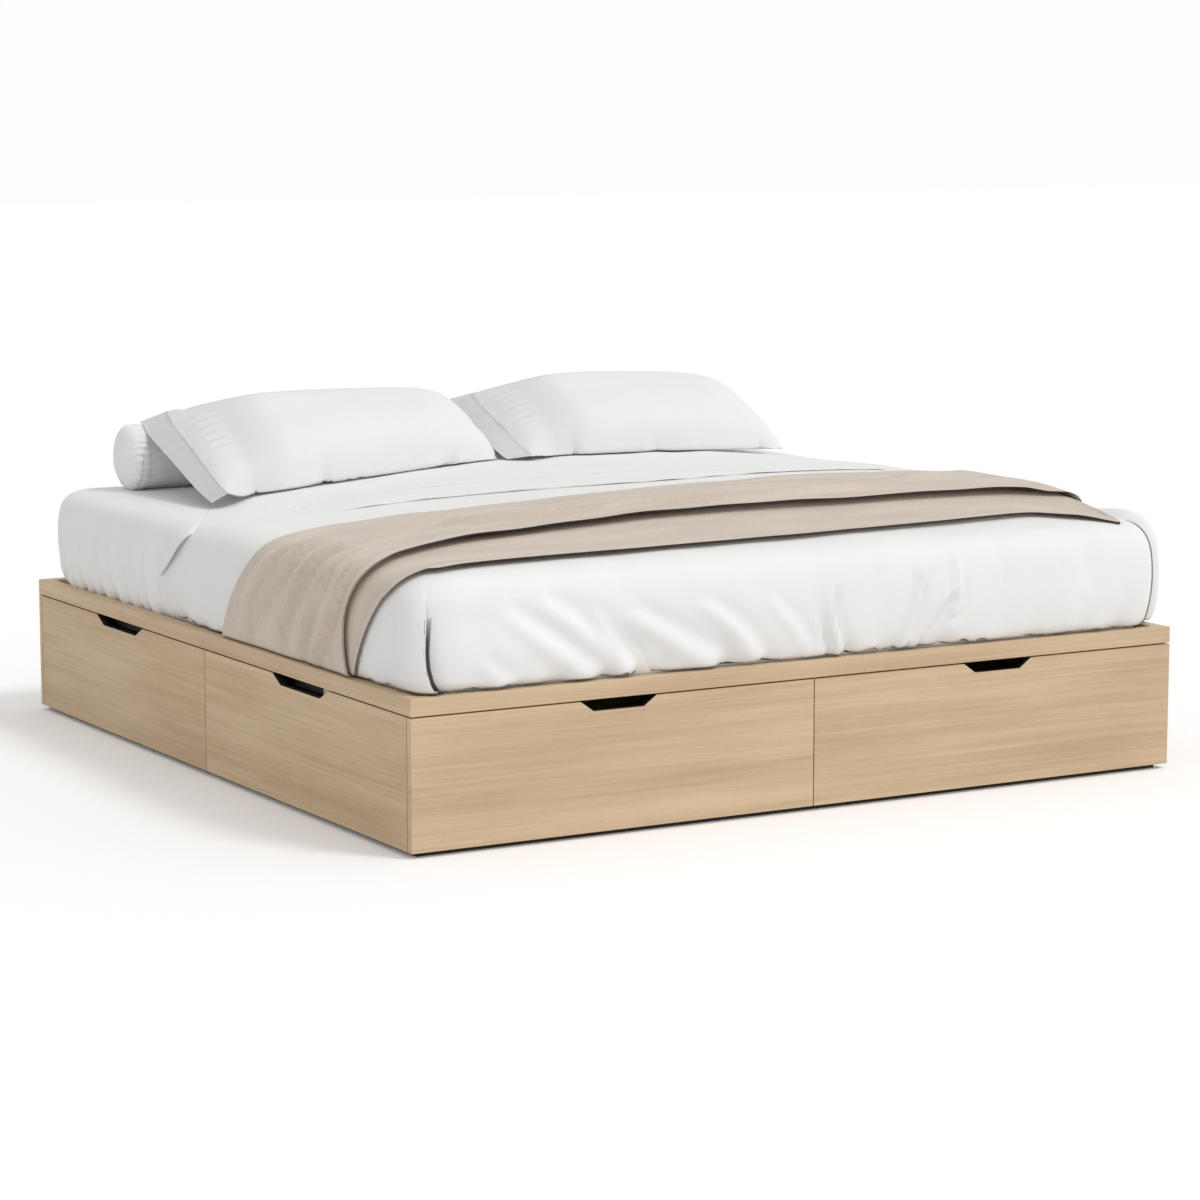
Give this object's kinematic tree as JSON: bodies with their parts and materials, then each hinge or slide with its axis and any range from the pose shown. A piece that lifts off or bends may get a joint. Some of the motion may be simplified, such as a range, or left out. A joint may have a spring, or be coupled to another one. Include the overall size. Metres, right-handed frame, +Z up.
{
  "type": "storage bed",
  "caption": "Low storage bed with pull-out drawers in both sides and the foot, a slatted deck, a mattress, a quilt, pillows, a bolster and a folded throw.",
  "frame": {"origin": "on the floor under the middle of the base", "axes": "+X to the right as seen from the foot, +Y from the foot to the head, +Z up"},
  "size_m": [2, 2.1, 0.8131],
  "materials": {
    "light_oak": "satin",
    "inner_wood": "matte",
    "black_plinth": "matte",
    "steel": "satin",
    "white_linen": "matte",
    "taupe_cloth": "matte"
  },
  "bodies": {
    "base": {"rim_left": "light_oak", "rim_right": "light_oak", "rim_foot": "light_oak", "rim_head": "light_oak", "plinth_rails": "black_plinth", "head_panel": "light_oak", "spine_panel": "inner_wood", "cross_panel": "inner_wood", "foot_divider": "inner_wood", "side_divider_left": "inner_wood", "side_divider_right": "inner_wood", "blind_panel_left": "inner_wood", "blind_panel_right": "inner_wood", "slat_ledgers": "inner_wood", "slats": "inner_wood", "corner_angles": "steel", "slide_rails_left": "steel", "slide_rails_right": "steel", "slide_rails_foot": "steel", "mattress": "white_linen", "quilt": "white_linen", "sheet_cuff": "white_linen", "throw": "taupe_cloth", "pillow_left": "white_linen", "pillow_right": "white_linen", "bolster": "white_linen"},
    "drawer_left_near": {"front_left_near": "light_oak", "box_left_near": "inner_wood", "bottom_left_near": "inner_wood", "runners_left_near": "steel"},
    "slide_left_near": {"mid_left_near": "steel"},
    "drawer_left_far": {"front_left_far": "light_oak", "box_left_far": "inner_wood", "bottom_left_far": "inner_wood", "runners_left_far": "steel"},
    "slide_left_far": {"mid_left_far": "steel"},
    "drawer_right_near": {"front_right_near": "light_oak", "box_right_near": "inner_wood", "bottom_right_near": "inner_wood", "runners_right_near": "steel"},
    "slide_right_near": {"mid_right_near": "steel"},
    "drawer_right_far": {"front_right_far": "light_oak", "box_right_far": "inner_wood", "bottom_right_far": "inner_wood", "runners_right_far": "steel"},
    "slide_right_far": {"mid_right_far": "steel"},
    "drawer_foot_left": {"front_foot_left": "light_oak", "box_foot_left": "inner_wood", "bottom_foot_left": "inner_wood", "runners_foot_left": "steel"},
    "slide_foot_left": {"mid_foot_left": "steel"},
    "drawer_foot_right": {"front_foot_right": "light_oak", "box_foot_right": "inner_wood", "bottom_foot_right": "inner_wood", "runners_foot_right": "steel"},
    "slide_foot_right": {"mid_foot_right": "steel"}
  },
  "joints": [
    {"name": "drawer_left_near_slide", "type": "slide", "parent": "base", "child": "drawer_left_near", "axis": [-1, 0, 0], "range_m": [0, 0.66]},
    {"name": "slide_left_near_travel", "type": "slide", "parent": "base", "child": "slide_left_near", "axis": [-1, 0, 0], "range_m": [0, 0.33]},
    {"name": "drawer_left_far_slide", "type": "slide", "parent": "base", "child": "drawer_left_far", "axis": [-1, 0, 0], "range_m": [0, 0.66]},
    {"name": "slide_left_far_travel", "type": "slide", "parent": "base", "child": "slide_left_far", "axis": [-1, 0, 0], "range_m": [0, 0.33]},
    {"name": "drawer_right_near_slide", "type": "slide", "parent": "base", "child": "drawer_right_near", "axis": [1, 0, 0], "range_m": [0, 0.66]},
    {"name": "slide_right_near_travel", "type": "slide", "parent": "base", "child": "slide_right_near", "axis": [1, 0, 0], "range_m": [0, 0.33]},
    {"name": "drawer_right_far_slide", "type": "slide", "parent": "base", "child": "drawer_right_far", "axis": [1, 0, 0], "range_m": [0, 0.66]},
    {"name": "slide_right_far_travel", "type": "slide", "parent": "base", "child": "slide_right_far", "axis": [1, 0, 0], "range_m": [0, 0.33]},
    {"name": "drawer_foot_left_slide", "type": "slide", "parent": "base", "child": "drawer_foot_left", "axis": [0, -1, 0], "range_m": [0, 0.36]},
    {"name": "slide_foot_left_travel", "type": "slide", "parent": "base", "child": "slide_foot_left", "axis": [0, -1, 0], "range_m": [0, 0.18]},
    {"name": "drawer_foot_right_slide", "type": "slide", "parent": "base", "child": "drawer_foot_right", "axis": [0, -1, 0], "range_m": [0, 0.36]},
    {"name": "slide_foot_right_travel", "type": "slide", "parent": "base", "child": "slide_foot_right", "axis": [0, -1, 0], "range_m": [0, 0.18]}
  ],
  "couplings": [
    {"joint": "slide_left_near_travel", "follows": "drawer_left_near_slide", "ratio": 0.5},
    {"joint": "slide_left_far_travel", "follows": "drawer_left_far_slide", "ratio": 0.5},
    {"joint": "slide_right_near_travel", "follows": "drawer_right_near_slide", "ratio": 0.5},
    {"joint": "slide_right_far_travel", "follows": "drawer_right_far_slide", "ratio": 0.5},
    {"joint": "slide_foot_left_travel", "follows": "drawer_foot_left_slide", "ratio": 0.5},
    {"joint": "slide_foot_right_travel", "follows": "drawer_foot_right_slide", "ratio": 0.5}
  ]
}
